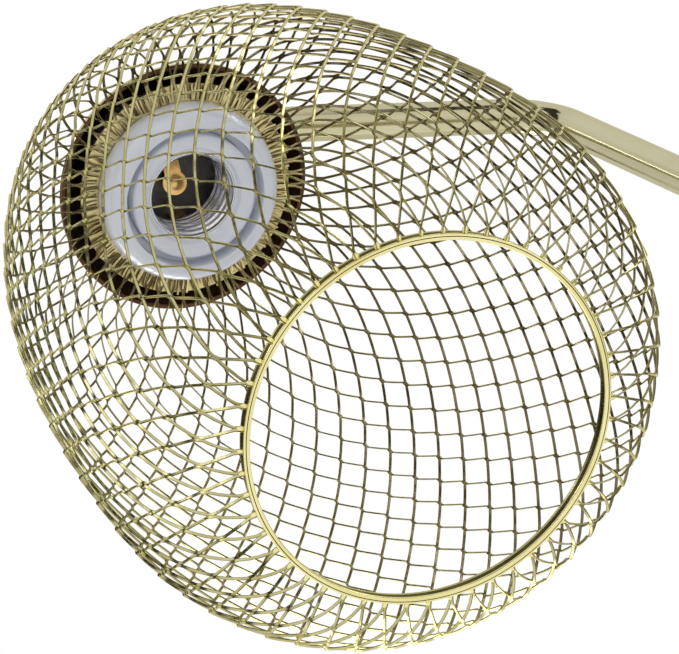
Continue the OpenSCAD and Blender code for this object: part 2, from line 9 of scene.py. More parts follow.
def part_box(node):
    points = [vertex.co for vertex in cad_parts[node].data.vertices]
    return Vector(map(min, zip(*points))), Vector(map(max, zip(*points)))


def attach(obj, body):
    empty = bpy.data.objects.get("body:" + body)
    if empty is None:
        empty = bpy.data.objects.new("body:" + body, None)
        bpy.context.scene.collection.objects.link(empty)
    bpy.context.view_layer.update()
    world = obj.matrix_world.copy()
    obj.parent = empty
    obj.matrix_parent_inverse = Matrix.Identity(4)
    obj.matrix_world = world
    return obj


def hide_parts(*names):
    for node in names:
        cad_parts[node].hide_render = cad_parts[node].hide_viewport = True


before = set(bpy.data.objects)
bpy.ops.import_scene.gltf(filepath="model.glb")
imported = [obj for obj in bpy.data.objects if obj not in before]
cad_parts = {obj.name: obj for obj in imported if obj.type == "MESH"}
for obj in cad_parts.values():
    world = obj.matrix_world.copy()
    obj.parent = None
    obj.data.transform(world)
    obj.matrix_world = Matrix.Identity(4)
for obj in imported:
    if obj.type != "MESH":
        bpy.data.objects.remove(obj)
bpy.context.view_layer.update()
print("frame loaded:", len(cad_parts), "nodes")

mm = 0.001
fullTurn = 2 * math.pi


# Places taken from the frame

def boxMiddle(node):
    low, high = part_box(node)
    return (Vector(low) + Vector(high)) / 2


def boxSize(node):
    low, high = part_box(node)
    return Vector(high) - Vector(low)


def heightsOf(box):
    # where a box of the frame starts and ends in height
    return box[0][2], box[1][2]


opening = {"inner": 49.5 * mm, "netEdge": 50.8 * mm, "barLow": 1.2 * mm}
shadeX = boxMiddle("opening_ring").x
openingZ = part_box("opening_ring")[0][2] + opening["barLow"]
mouthZ, sleeveHigh = heightsOf(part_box("lampholder_sleeve"))
fitterLow, fitterHigh = heightsOf(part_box("fitter_plate"))
fitterRadius = boxSize("fitter_plate").x / 2


# Mesh helpers

onAxis = 1e-7  # a corner nearer to the axis than this is a pole
mostOfEdge = 0.49  # the share of an edge that a rounding may take, so that two never meet
edges = {"crisp": 0.1 * mm, "eased": 0.2 * mm, "soft": 0.3 * mm, "round": 0.4 * mm}  # small roundings


def makePiece(name, verts, faces, sharpAngle=40):
    mesh = bpy.data.meshes.new(name)
    mesh.from_pydata([tuple(v) for v in verts], [], faces)
    mesh.validate()
    skin = bmesh.new()
    skin.from_mesh(mesh)
    bmesh.ops.recalc_face_normals(skin, faces=skin.faces)
    skin.to_mesh(mesh)
    skin.free()
    mesh.shade_smooth()
    mesh.set_sharp_from_angle(angle=math.radians(sharpAngle))
    piece = bpy.data.objects.new(name, mesh)
    bpy.context.scene.collection.objects.link(piece)
    return piece


def dress(piece, body, slotName, finishes, *nodes):
    for finish in finishes:
        piece.data.materials.append(finish)
    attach(piece, body)
    if nodes:
        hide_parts(*nodes)
    return piece


def roundCorners(corners, steps=4):
    # each corner is (radius from the axis, height, rounding)
    outline = []
    for i, (r, z, rounding) in enumerate(corners):
        here = Vector((r, z))
        before = Vector(corners[i - 1][:2]) - here
        after = Vector(corners[(i + 1) % len(corners)][:2]) - here
        if rounding <= 0:
            outline.append(here)
            continue
        reach = rounding / math.tan(before.angle(after) / 2)
        reach = min(reach, before.length * mostOfEdge, after.length * mostOfEdge)
        first = here + before.normalized() * reach
        last = here + after.normalized() * reach
        for k in range(steps + 1):
            t = k / steps
            outline.append(first * (1 - t) ** 2 + here * (2 * t * (1 - t)) + last * t ** 2)
    return outline


def lathe(name, corners, centre, sides=96, steps=4):
    # turns a closed outline about an upright line; corners on the line become poles
    outline = roundCorners(corners, steps)
    verts, rings = [], []
    for point in outline:
        if point.x < onAxis:
            rings.append([len(verts)] * sides)
            verts.append((centre[0], centre[1], centre[2] + point.y))
            continue
        rings.append([len(verts) + k for k in range(sides)])
        for k in range(sides):
            angle = fullTurn * k / sides
            verts.append((centre[0] + point.x * math.cos(angle),
                          centre[1] + point.x * math.sin(angle), centre[2] + point.y))
    faces = []
    for i in range(len(rings)):
        lower, upper = rings[i], rings[(i + 1) % len(rings)]
        for k in range(sides):
            corner = [lower[k], lower[(k + 1) % sides], upper[(k + 1) % sides], upper[k]]
            face = [v for j, v in enumerate(corner) if v != corner[j - 1]]
            if len(face) >= 3:
                faces.append(face)
    return makePiece(name, verts, faces)


def sweepSections(sections, closed, capped):
    # joins rings of the same number of points into a skin
    verts = [point for section in sections for point in section]
    count, faces = len(sections[0]), []
    for i in range(len(sections) if closed else len(sections) - 1):
        a, b = i * count, (i + 1) % len(sections) * count
        for k in range(count):
            faces.append([a + k, a + (k + 1) % count, b + (k + 1) % count, b + k])
    if capped:
        faces.append(list(range(count))[::-1])
        faces.append([(len(sections) - 1) * count + k for k in range(count)])
    return verts, faces


def roundSections(path, across, radius, sides):
    # circles round a path that lies in the plane whose normal is across
    sections = []
    for i, point in enumerate(path):
        run = (path[min(i + 1, len(path) - 1)] - path[max(i - 1, 0)]).normalized()
        over = run.cross(across)
        sections.append([point + radius * (math.cos(fullTurn * k / sides) * across
                                           + math.sin(fullTurn * k / sides) * over)
                         for k in range(sides)])
    return sections


# Effects that several finishes share

def startGroup(name, inputs, outputs):
    # inputs are names with their first values, a tuple where it is a colour
    group = bpy.data.node_groups.new(name, "ShaderNodeTree")
    for label, value in inputs.items():
        kind = "NodeSocketColor" if isinstance(value, tuple) else "NodeSocketFloat"
        group.interface.new_socket(label, in_out="INPUT", socket_type=kind).default_value = value
    for label in outputs:
        kind = "NodeSocketColor" if label == "Color" else "NodeSocketFloat"
        group.interface.new_socket(label, in_out="OUTPUT", socket_type=kind)
    return group, group.nodes.new("NodeGroupInput"), group.nodes.new("NodeGroupOutput")


def addNoise(tree, scaleFrom, coordinates, detail, roughness, stretch=None):
    # scaleFrom is the output that gives the scale
    noise = tree.nodes.new("ShaderNodeTexNoise")
    noise.inputs["Detail"].default_value = detail
    noise.inputs["Roughness"].default_value = roughness
    tree.links.new(scaleFrom, noise.inputs["Scale"])
    source = coordinates
    if stretch:
        mapping = tree.nodes.new("ShaderNodeMapping")
        mapping.inputs["Scale"].default_value = stretch
        tree.links.new(coordinates, mapping.inputs["Vector"])
        source = mapping.outputs["Vector"]
    tree.links.new(source, noise.inputs["Vector"])
    return noise.outputs["Fac"]


def addMath(tree, operation, first, second):
    node = tree.nodes.new("ShaderNodeMath")
    node.operation = operation
    for socket, value in zip(node.inputs, (first, second)):
        if isinstance(value, (int, float)):
            socket.default_value = value
        else:
            tree.links.new(value, socket)
    return node.outputs["Value"]


def addRange(tree, value, fromLow, fromHigh, toLow, toHigh):
    node = tree.nodes.new("ShaderNodeMapRange")
    tree.links.new(value, node.inputs["Value"])
    limits = {"From Min": fromLow, "From Max": fromHigh, "To Min": toLow, "To Max": toHigh}
    for label, number in limits.items():
        if isinstance(number, (int, float)):
            node.inputs[label].default_value = number
        else:
            tree.links.new(number, node.inputs[label])
    return node.outputs["Result"]


def addMix(tree, factor, first, second):
    node = tree.nodes.new("ShaderNodeMix")
    node.data_type = "RGBA"
    tree.links.new(factor, node.inputs["Factor"])
    for socket, value in ((node.inputs["A"], first), (node.inputs["B"], second)):
        if isinstance(value, tuple):
            socket.default_value = value
        else:
            tree.links.new(value, socket)
    return node.outputs["Result"]


# For each noise: its detail and its roughness. For each span: where the mask starts and ends
variationData = {"drift": (3, 0.55), "gloss": (4, 0.6), "grain": (2, 0.5), "driftSpan": (0.35, 0.65),
                 "glossSpan": (0.3, 0.7), "glossHeight": 0.5}


def buildFinishVariation():
    # slow drift of tone, a finer mottle of gloss and a grain that stands up from the surface
    group, given, result = startGroup("finishVariation", {
        "Tone": (0.8, 0.8, 0.8, 1), "Deep Tone": (0.6, 0.6, 0.6, 1), "Drift Scale": 40, "Gloss Scale": 300,
        "Grain Scale": 2500, "Smooth": 0.25, "Rough": 0.4}, ["Color", "Roughness", "Height"])
    place = group.nodes.new("ShaderNodeTexCoord").outputs["Object"]
    drift = addNoise(group, given.outputs["Drift Scale"], place, *variationData["drift"])
    gloss = addNoise(group, given.outputs["Gloss Scale"], place, *variationData["gloss"])
    grain = addNoise(group, given.outputs["Grain Scale"], place, *variationData["grain"])
    blend = addRange(group, drift, *variationData["driftSpan"], 0.0, 1.0)
    group.links.new(addMix(group, blend, given.outputs["Deep Tone"], given.outputs["Tone"]),
                    result.inputs["Color"])
    group.links.new(addRange(group, gloss, *variationData["glossSpan"], given.outputs["Smooth"],
                             given.outputs["Rough"]), result.inputs["Roughness"])
    glossHeight = addMath(group, "MULTIPLY", gloss, variationData["glossHeight"])
    group.links.new(addMath(group, "ADD", grain, glossHeight), result.inputs["Height"])
    return group


wearData = {"cornerSpan": (0.52, 0.62)}


def buildEdgeWear():
    # lighter metal where the finish is thin on corners
    group, given, result = startGroup("edgeWear", {
        "Color": (0.8, 0.8, 0.8, 1), "Worn Color": (1, 1, 1, 1), "Amount": 0.5}, ["Color"])
    sharpness = group.nodes.new("ShaderNodeNewGeometry").outputs["Pointiness"]
    mask = addRange(group, sharpness, *wearData["cornerSpan"], 0.0, given.outputs["Amount"])
    group.links.new(addMix(group, mask, given.outputs["Color"], given.outputs["Worn Color"]),
                    result.inputs["Color"])
    return group


dustData = {"speckScale": 900, "speck": (3, 0.7), "upwardSpan": (0.2, 1.0), "speckSpan": (0.35, 0.6),
            "thinnest": 0.2, "dulling": 0.5}


def buildDustFilm():
    # dust lies on what faces up
    group, given, result = startGroup("dustFilm", {
        "Color": (0.8, 0.8, 0.8, 1), "Dust Color": (0.7, 0.68, 0.64, 1), "Roughness": 0.3, "Amount": 0.1},
        ["Color", "Roughness"])
    normal = group.nodes.new("ShaderNodeNewGeometry").outputs["Normal"]
    split = group.nodes.new("ShaderNodeSeparateXYZ")
    group.links.new(normal, split.inputs["Vector"])
    speckScale = group.nodes.new("ShaderNodeValue")
    speckScale.outputs[0].default_value = dustData["speckScale"]
    place = group.nodes.new("ShaderNodeTexCoord").outputs["Object"]
    speck = addNoise(group, speckScale.outputs[0], place, *dustData["speck"])
    upward = addRange(group, split.outputs["Z"], *dustData["upwardSpan"], 0.0, given.outputs["Amount"])
    patchy = addRange(group, speck, *dustData["speckSpan"], dustData["thinnest"], 1.0)
    mask = addMath(group, "MULTIPLY", upward, patchy)
    group.links.new(addMix(group, mask, given.outputs["Color"], given.outputs["Dust Color"]),
                    result.inputs["Color"])
    dulled = addMath(group, "MULTIPLY", mask, dustData["dulling"])
    group.links.new(addMath(group, "ADD", given.outputs["Roughness"], dulled), result.inputs["Roughness"])
    return group


streakData = {"noise": (2, 0.5), "stretch": (0.012, 1, 0.012), "span": (0.35, 0.65)}


def buildPaintedStreaks():
    # painted reflection: long soft darker streaks that run along a bent tube, whose bend lies in the plane
    # across y
    group, given, result = startGroup("paintedReflectionStreaks", {
        "Color": (0.8, 0.8, 0.8, 1), "Streak Color": (0.6, 0.6, 0.6, 1), "Scale": 500, "Amount": 0.5},
        ["Color"])
    place = group.nodes.new("ShaderNodeTexCoord").outputs["Object"]
    streak = addNoise(group, given.outputs["Scale"], place, *streakData["noise"], streakData["stretch"])
    mask = addRange(group, streak, *streakData["span"], 0.0, given.outputs["Amount"])
    group.links.new(addMix(group, mask, given.outputs["Color"], given.outputs["Streak Color"]),
                    result.inputs["Color"])
    return group


effects = {"variation": buildFinishVariation(), "wear": buildEdgeWear(), "dust": buildDustFilm(),
           "streaks": buildPaintedStreaks()}


# What a finish has unless its own look says otherwise
plainLook = {"metal": 0.0, "ior": 1.5, "coat": 0.0, "coatRoughness": 0.05, "edgeTint": (1, 1, 1),
             "driftScale": 40, "glossScale": 300, "grainScale": 2500, "streak": 0, "wear": 0, "dust": 0,
             "bump": 0.1, "bumpHeight": 0.05 * mm}


def addEffect(tree, name, links, values):
    node = tree.nodes.new("ShaderNodeGroup")
    node.node_tree = effects[name]
    for label, source in links.items():
        tree.links.new(source, node.inputs[label])
    for label, value in values.items():
        node.inputs[label].default_value = value
    return node.outputs


def makeFinish(name, look):
    # one finish: the shared effects in a row, each with this finish's own values
    look = {**plainLook, **look}
    finish = bpy.data.materials.new(name)
    finish.use_nodes = True
    tree = finish.node_tree
    shader = tree.nodes["Principled BSDF"]
    for label, value in (("Metallic", look["metal"]), ("IOR", look["ior"]), ("Coat Weight", look["coat"]),
                         ("Coat Roughness", look["coatRoughness"]),
                         ("Specular Tint", (*look["edgeTint"], 1))):
        shader.inputs[label].default_value = value

    smooth, rough = look["roughness"]
    variation = addEffect(tree, "variation", {}, {
        "Tone": (*look["tone"], 1), "Deep Tone": (*look["deepTone"], 1), "Drift Scale": look["driftScale"],
        "Gloss Scale": look["glossScale"], "Grain Scale": look["grainScale"],
        "Smooth": smooth, "Rough": rough})
    colour, roughness = variation["Color"], variation["Roughness"]
    # painted reflection streaks, where a look asks for them
    if look["streak"]:
        colour = addEffect(tree, "streaks", {"Color": colour}, {
            "Streak Color": (*look["streakTone"], 1), "Amount": look["streak"]})["Color"]
    if look["wear"]:
        colour = addEffect(tree, "wear", {"Color": colour}, {
            "Worn Color": (*look["wornTone"], 1), "Amount": look["wear"]})["Color"]
    if look["dust"]:
        dusted = addEffect(tree, "dust", {"Color": colour, "Roughness": roughness}, {"Amount": look["dust"]})
        colour, roughness = dusted["Color"], dusted["Roughness"]

    bump = tree.nodes.new("ShaderNodeBump")
    bump.inputs["Strength"].default_value = look["bump"]
    bump.inputs["Distance"].default_value = look["bumpHeight"]
    tree.links.new(variation["Height"], bump.inputs["Height"])
    tree.links.new(bump.outputs["Normal"], shader.inputs["Normal"])
    tree.links.new(colour, shader.inputs["Base Color"])
    tree.links.new(roughness, shader.inputs["Roughness"])
    return finish


goldEdge = (1.0, 0.94, 0.66)  # the gold's reflection at a glance
looks = {
    "satinGold": {"tone": (0.54, 0.51, 0.34), "deepTone": (0.50, 0.47, 0.30), "metal": 1.0,
                  "roughness": (0.10, 0.16), "wear": 0.3, "wornTone": (0.66, 0.62, 0.44), "dust": 0.08,
                  "bump": 0.02, "edgeTint": goldEdge},
    # the tube's long darker streaks are painted reflection
    "streakedTubeGold": {"tone": (0.55, 0.52, 0.34), "deepTone": (0.51, 0.48, 0.30), "metal": 1.0,
                  "roughness": (0.10, 0.16), "streak": 1.0, "streakTone": (0.46, 0.43, 0.26), "bump": 0.006,
                  "edgeTint": (0.80, 0.78, 0.70)},
    "meshGold": {"tone": (0.55, 0.515, 0.265), "deepTone": (0.44, 0.405, 0.175), "metal": 1.0,
                 "edgeTint": goldEdge, "roughness": (0.14, 0.30), "driftScale": 90, "glossScale": 900,
                 "grainScale": 4000, "bump": 0.2, "dust": 0.05},
    # painted shade: a darker, browner copy of the mesh gold for the ribbons' inner faces
    "shadedInnerGold": {"tone": (0.29, 0.26, 0.145), "deepTone": (0.125, 0.10, 0.05), "metal": 1.0,
                  "edgeTint": goldEdge, "roughness": (0.16, 0.32), "driftScale": 90, "glossScale": 900,
                  "grainScale": 4000, "bump": 0.2},
    # painted shade: a slightly darker copy of the mesh gold for the ribbons' chamfers
    "shadedSideGold": {"tone": (0.50, 0.47, 0.235), "deepTone": (0.31, 0.285, 0.12), "metal": 1.0,
                 "edgeTint": goldEdge, "roughness": (0.16, 0.32), "driftScale": 120, "glossScale": 900,
                 "grainScale": 4000, "bump": 0.2},
    # painted shade: a near-black copy of the gold for the ribbons' cut edges and for the opening bar's band
    # and cut line
    "shadedCutGold": {"tone": (0.08, 0.07, 0.025), "deepTone": (0.03, 0.026, 0.01), "metal": 1.0,
                "edgeTint": goldEdge, "roughness": (0.22, 0.42), "driftScale": 150, "glossScale": 900,
                "grainScale": 4000, "bump": 0.3},
    "polishedGold": {"tone": (0.81, 0.745, 0.385), "deepTone": (0.72, 0.645, 0.29), "metal": 1.0,
                     "edgeTint": goldEdge, "roughness": (0.10, 0.20), "glossScale": 700, "bump": 0.1},
    "rawGold": {"tone": (0.79, 0.69, 0.37), "deepTone": (0.55, 0.44, 0.21), "metal": 1.0,
                "roughness": (0.30, 0.50), "driftScale": 160, "glossScale": 900, "bump": 0.35},
    # painted shade: a dark copy of the raw gold for the comb ends' cut edges and chamfers, so that dark gaps
    # show between the ends
    "shadedRawCut": {"tone": (0.24, 0.19, 0.10), "deepTone": (0.07, 0.05, 0.025), "metal": 1.0,
               "roughness": (0.30, 0.50), "driftScale": 160, "glossScale": 900, "bump": 0.35},
    "whitePlastic": {"tone": (0.79, 0.82, 0.90), "deepTone": (0.75, 0.78, 0.87), "roughness": (0.14, 0.24),
                     "coat": 0.6, "driftScale": 30, "glossScale": 200, "bump": 0.05},
    "nickel": {"tone": (0.74, 0.74, 0.77), "deepTone": (0.62, 0.62, 0.65), "metal": 1.0,
               "roughness": (0.06, 0.12), "glossScale": 600, "bump": 0.05},
    "contactBrass": {"tone": (0.84, 0.54, 0.21), "deepTone": (0.66, 0.38, 0.12), "metal": 1.0,
                     "roughness": (0.22, 0.36), "driftScale": 200, "bump": 0.1},
    "zincSteel": {"tone": (0.70, 0.71, 0.73), "deepTone": (0.58, 0.59, 0.62), "metal": 1.0,
                  "roughness": (0.25, 0.45), "driftScale": 250, "bump": 0.15},
    "castIron": {"tone": (0.11, 0.11, 0.115), "deepTone": (0.06, 0.06, 0.065), "metal": 0.6,
                 "roughness": (0.55, 0.8), "grainScale": 900, "bump": 0.6, "bumpHeight": 0.2 * mm},
    "blackRubber": {"tone": (0.035, 0.035, 0.036), "deepTone": (0.02, 0.02, 0.021),
                    "roughness": (0.6, 0.8), "grainScale": 1500, "bump": 0.4},
    "brownCore": {"tone": (0.30, 0.14, 0.07), "deepTone": (0.22, 0.10, 0.05), "roughness": (0.4, 0.55)},
    "blueCore": {"tone": (0.08, 0.20, 0.55), "deepTone": (0.06, 0.15, 0.42), "roughness": (0.4, 0.55)},
    # the contact insert's dark grey is partly its own colour and partly painted shade for the depth of the
    # socket
    "darkInsert": {"tone": (0.15, 0.14, 0.135), "deepTone": (0.06, 0.055, 0.052), "roughness": (0.25, 0.45),
                   "driftScale": 150},
    "cupInside": {"tone": (0.16, 0.075, 0.035), "deepTone": (0.07, 0.03, 0.016), "metal": 0.7,
                  "roughness": (0.3, 0.5), "driftScale": 60, "bump": 0.1},
}
finishes = {name: makeFinish(name, look) for name, look in looks.items()}
print("finishes made:", len(finishes))


# Solids that keep their shape and get a finish

keptNodes = {
    "blackRubber": ["base_pad", "cable_grommet"],
    "castIron": ["base_weight"],
    "whitePlastic": ["terminal_block", "lampholder_cap", "backing_ring"],
    "darkInsert": ["contact_insert"],
    "zincSteel": ["terminal_block_screws", "boss_grub_screw", "base_washer", "base_nut", "hub_grub_screw",
                  "nipple", "nipple_nut", "terminal_screws"],
    "brownCore": ["live_lead"],
    "blueCore": ["neutral_lead"],
    "contactBrass": ["terminal_posts", "side_contact"],
    "satinGold": ["stem_boss"],
}
for finishName, nodes in keptNodes.items():
    for node in nodes:
        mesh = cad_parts[node].data
        mesh.materials.clear()
        mesh.materials.append(finishes[finishName])
print("solids finished")


# The shade's profile, from the opening ring up to the fitter plate

shade = {"bellyHeight": 55 * mm, "bellyPull": 112 * mm, "neckPull": 27 * mm, "neckFall": 1.4 * mm,
         "neckGap": 1.6 * mm, "solidStrand": 1.0 * mm, "sunk": 0.5 * mm, "underPlate": 0.6,
         "combEnd": 28.8 * mm, "combRise": 0.1 * mm, "samples": 60, "bulgeSkew": 0.6,
         "bulges": [(325, 4, 0, 130 * mm, 2.0 * mm), (216, 8, 120 * mm, 190 * mm, 1.2 * mm)]}


def curvePoint(corners, t):
    a, b, c, d = corners
    return a * (1 - t) ** 3 + b * (3 * (1 - t) ** 2 * t) + c * (3 * (1 - t) * t * t) + d * t ** 3


def makeProfile():
    belly = boxSize("shade_net").x / 2 - shade["solidStrand"] / 2 - shade["sunk"]
    neck = boxSize("shade_ring").x / 2 + shade["neckGap"]
    top = fitterLow - openingZ - shade["solidStrand"] * shade["underPlate"]
    low, count = shade["bellyHeight"], shade["samples"]
    points = [Vector((opening["netEdge"] + (belly - opening["netEdge"]) * math.sin(math.pi / 2 * i / count),
                      low * (1 - math.cos(math.pi / 2 * i / count)))) for i in range(count)]
    handles = [Vector((belly, low)), Vector((belly, low + shade["bellyPull"])),
               Vector((neck + shade["neckPull"], top - shade["neckFall"])), Vector((neck, top))]
    points += [curvePoint(handles, i / (2 * count)) for i in range(2 * count + 1)]
    points.append(Vector((shade["combEnd"], top + shade["combRise"])))
    return points


profile = makeProfile()
profileRun = [0.0]
for before, after in zip(profile, profile[1:]):
    profileRun.append(profileRun[-1] + (after - before).length)


def profileAt(s):
    # radius and height at a run along the profile, with the outward direction there
    s = min(max(s, 0.0), profileRun[-1])
    i = 0
    while profileRun[i + 1] < s:
        i += 1
    t = (s - profileRun[i]) / (profileRun[i + 1] - profileRun[i])
    along = (profile[i + 1] - profile[i]).normalized()
    return profile[i].lerp(profile[i + 1], t), Vector((along.y, -along.x))


def bulgeAt(angle, height):
    # the drawn net isn't quite round: each bulge is (direction, sharpness, low, high, amount)
    total = 0
    for direction, sharpness, low, high, amount in shade["bulges"]:
        facing = max(0, math.cos(angle - math.radians(direction)))
        t = min(max((height - low) / (high - low), 0), 1)
        total += amount * facing ** sharpness * math.sin(math.pi * t ** shade["bulgeSkew"])
    return total


def surfacePoint(s, angle):
    # a point of the shade's surface, with its outward direction and the direction round the axis
    point, outward = profileAt(s)
    ray = Vector((math.cos(angle), math.sin(angle), 0))
    place = Vector((shadeX, 0, openingZ + point.y)) + ray * (point.x + bulgeAt(angle, point.y))
    return place, ray * outward.x + Vector((0, 0, outward.y)), Vector((-ray.y, ray.x, 0))


# The net is a slit sheet drawn open: each strand is a zigzag ribbon that is joined in turn to the
# ribbon on its left and on its right, and all of them lean the same way. Each span is (least, most)

net = {"columns": 53, "strand": 10.33 * mm, "strandLoss": 0.9 * mm, "lossRun": 207 * mm,
       "firstRow": 1.8 * mm, "startRun": 0.3 * mm, "bond": 2.0 * mm, "between": 3,
       "width": 0.82 * mm, "thickness": 0.44 * mm, "chamfer": 0.09 * mm, "lean": 50,
       "phase": 1.48, "nearTurn": 203.6, "farShift": -0.49, "farRise": 0.3, "riseRows": 4, "seed": 7}
# The cut ends: those of the comb lie flat under the plate, the others are folded back over its edge
comb = {"radius": 36.5 * mm, "rawRadius": 38 * mm, "lean": 42, "leanSpan": (0.4, 1.5),
        "swaySpan": (-0.22, 0.22), "trimSpan": (0, 0.9), "steps": (0.3, 0.55, 0.8, 1.0), "straightBy": 0.55}
fold = {"lengthSpan": (3 * mm, 5.5 * mm), "leanSpan": (-1.2, 1.4), "swaySpan": (-0.2, 0.2),
        "trimSpan": (0, 0.6), "driftSpan": (-0.5, 0.5), "steps": (0, 0.3, 0.65, 1), "settle": 0.4}
halfColumn = math.pi / net["columns"]


def farShare(angle):
    # 0 on the side near the camera and 1 on the far side, where the real net is drawn a little askew
    return 0.5 - 0.5 * math.cos(angle - math.radians(net["nearTurn"]))


def netRows():
    rows, s = [], net["firstRow"]
    while profileAt(s)[0].x > comb["radius"] or s < profileRun[-1] / 2:
        rows.append(s)
        strand = net["strand"] - net["strandLoss"] * (s / net["lossRun"]) ** 2
        half = halfColumn * profileAt(s)[0].x
        step = math.sqrt(strand ** 2 - half ** 2)
        half = halfColumn * profileAt(s + step / 2)[0].x
        s += math.sqrt(strand ** 2 - half ** 2)
    return rows


def ribbonStations(index, rows, chance):
    # (run, angle, side, lean) along one ribbon; side is -1 or 1 where it is joined
    stations, lean = [], math.radians(net["lean"])
    for k, s in enumerate(rows):
        side = 1 if (k + index) % 2 == 0 else -1
        angle = (index + (0 if side == 1 else 1) + net["phase"]) * halfColumn
        far = farShare(angle)
        step = (rows[k + 1] if k + 1 < len(rows) else profileRun[-1]) - s
        s += far * net["farRise"] * step * min(k / net["riseRows"], 1)
        angle += far * net["farShift"] * halfColumn
        joined = [(s - net["bond"] / 2, angle, side, lean), (s + net["bond"] / 2, angle, side, lean)]
        if stations:
            last = stations[-1]
            for i in range(1, net["between"]):
                t = i / net["between"]
                stations.append(tuple(a + (b - a) * t for a, b in zip(last, joined[0])))
        else:
            joined[0] = (net["startRun"], angle, side, lean)
        stations += joined
    last = stations[-1]
    sway = chance.uniform(*comb["swaySpan"])
    combAngle = (index + 0.5 + net["phase"] + net["farShift"] * far + sway) * halfColumn
    tip = (profileRun[-1] - chance.uniform(*comb["trimSpan"]) * mm, combAngle, 0.0,
           math.radians(comb["lean"]) * chance.uniform(*comb["leanSpan"]))
    for t in comb["steps"]:
        ease = min(t / comb["straightBy"], 1)
        stations.append((last[0] + (tip[0] - last[0]) * t, last[1] + (tip[1] - last[1]) * ease,
                         last[2] * (1 - ease), last[3] + (tip[3] - last[3]) * ease))
    return stations


ribbonSides = 8  # points of a ribbon's outline


def ribbonSections(stations):
    half, flat, cut = net["width"] / 2, net["thickness"] / 2, net["chamfer"]
    outline = [(half, flat - cut), (half - cut, flat), (cut - half, flat), (-half, flat - cut),
               (-half, cut - flat), (cut - half, -flat), (half - cut, -flat), (half, cut - flat)]
    places = [surfacePoint(s, angle) for s, angle, _, _ in stations]
    centres = []
    for (place, outward, around), (_, _, side, lean) in zip(places, stations):
        across = around * math.cos(lean) - outward * math.sin(lean)
        centres.append(place + across * (half - cut / 2) * side)
    sections = []
    for i, centre in enumerate(centres):
        run = (centres[min(i + 1, len(centres) - 1)] - centres[max(i - 1, 0)]).normalized()
        outward, lean = places[i][1], stations[i][3]
        sideways = outward.cross(run).normalized()
        if sideways.dot(places[i][2]) < 0:
            sideways = -sideways
        outward = run.cross(sideways).normalized() * (1 if run.cross(sideways).dot(outward) > 0 else -1)
        across = sideways * math.cos(lean) - outward * math.sin(lean)
        face = outward * math.cos(lean) + sideways * math.sin(lean)
        sections.append([centre + across * x + face * y for x, y in outline])
    return sections


def foldedStations(index, chance):
    # a cut end that is turned back outwards over the plate's edge
    angle = (index + net["phase"] + chance.uniform(*fold["swaySpan"])) * halfColumn
    angle += net["farShift"] * farShare(angle) * halfColumn
    start = profileRun[-1] - chance.uniform(*fold["trimSpan"]) * mm
    length, drift = chance.uniform(*fold["lengthSpan"]), chance.uniform(*fold["driftSpan"]) * halfColumn
    lean = math.radians(comb["lean"]) * chance.uniform(*fold["leanSpan"])
    return [(start - length * t, angle + drift * t * t, 0.0, lean * (1 - fold["settle"] * t))
            for t in fold["steps"]]


def makeNet():
    rows = netRows()
    chance = random.Random(net["seed"])
    verts, faces, sides = [], [], []
    ribbons = [ribbonStations(index, rows, chance) for index in range(2 * net["columns"])]
    ribbons += [foldedStations(index, chance) for index in range(2 * net["columns"])]
    for stations in ribbons:
        ribbonVerts, ribbonFaces = sweepSections(ribbonSections(stations), closed=False, capped=True)
        faces += [[v + len(verts) for v in face] for face in ribbonFaces]
        sides += [i % ribbonSides for i in range(len(ribbonFaces))]
        verts += ribbonVerts
    print("net:", len(rows), "rows,", len(faces), "faces")
    piece = makePiece("wireNet", verts, faces, sharpAngle=30)
    # side 1 of a ribbon is its outer face, 5 its inner face, 3 and 7 its cut edges, the others its chamfers
    # the inner faces, cut edges and chamfers take darker copies of the gold as painted shade, in the comb as
    # well
    for face, side in zip(piece.data.polygons, sides):
        fromAxis = math.hypot(face.center.x - shadeX, face.center.y)
        if fromAxis < comb["rawRadius"] and face.center.z > mouthZ:
            face.material_index = 4 if side % 4 == 1 else 5
        else:
            face.material_index = {1: 0, 5: 1, 3: 2, 7: 2}.get(side, 3)
    return piece


dress(makeNet(), "shade", "mesh_gold",
      [finishes[name] for name in ("meshGold", "shadedInnerGold", "shadedSideGold", "shadedCutGold", "rawGold", "shadedRawCut")],
      "shade_net")
print("net made")


# The bar round the opening, and the braze that holds the net on it

# shadeBand is the height of a dark painted shade band on the walls just above the step
bar = {"edge": 0.5 * mm, "lip": 0.9 * mm, "inset": 0.2 * mm, "shadeBand": 1.9 * mm, "line": 0.7 * mm,
       "cut": 0.12 * mm, "sides": 220}


def makeOpeningRing():
    low, high = heightsOf(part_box("opening_ring"))
    inner, outer = opening["inner"], boxSize("opening_ring").x / 2
    inset, step, line, cut = bar["inset"], low + bar["lip"], outer - bar["line"], bar["cut"]
    piece = lathe("ringBar", [
        (inner, low, bar["edge"]), (line - cut, low, 0), (line, low + cut, 0), (line + cut, low, 0),
        (outer, low, bar["edge"]), (outer, step, edges["crisp"]), (outer - inset, step, 0),
        (outer - inset, step + bar["shadeBand"], 0), (outer - inset, high, bar["edge"]),
        (inner + inset, high, bar["edge"]), (inner + inset, step + bar["shadeBand"], 0), (inner + inset, step, 0),
        (inner, step, edges["crisp"])],
        (shadeX, 0, 0), sides=bar["sides"])
    for face in piece.data.polygons:
        above, off = face.center.z - step, math.hypot(face.center.x - shadeX, face.center.y) - line
        inLine = abs(off) < cut and face.center.z > low and above < -bar["lip"] / 2
        # 0 is the lip below the step, 1 the walls above it, 2 the band just above the step and the cut line,
        # dark gold as painted shade
        face.material_index = 2 if inLine or 0 < above < bar["shadeBand"] else 0 if above < 0 else 1
    return piece


dress(makeOpeningRing(), "shade", "mesh_gold",
      [finishes["polishedGold"], finishes["meshGold"], finishes["shadedCutGold"]], "opening_ring")

braze = {"width": 0.9 * mm, "length": 1.3 * mm, "depth": 0.55 * mm, "run": 0.9 * mm, "rings": 6, "sides": 10,
         "spread": (0.85, 1.15), "seed": 3}


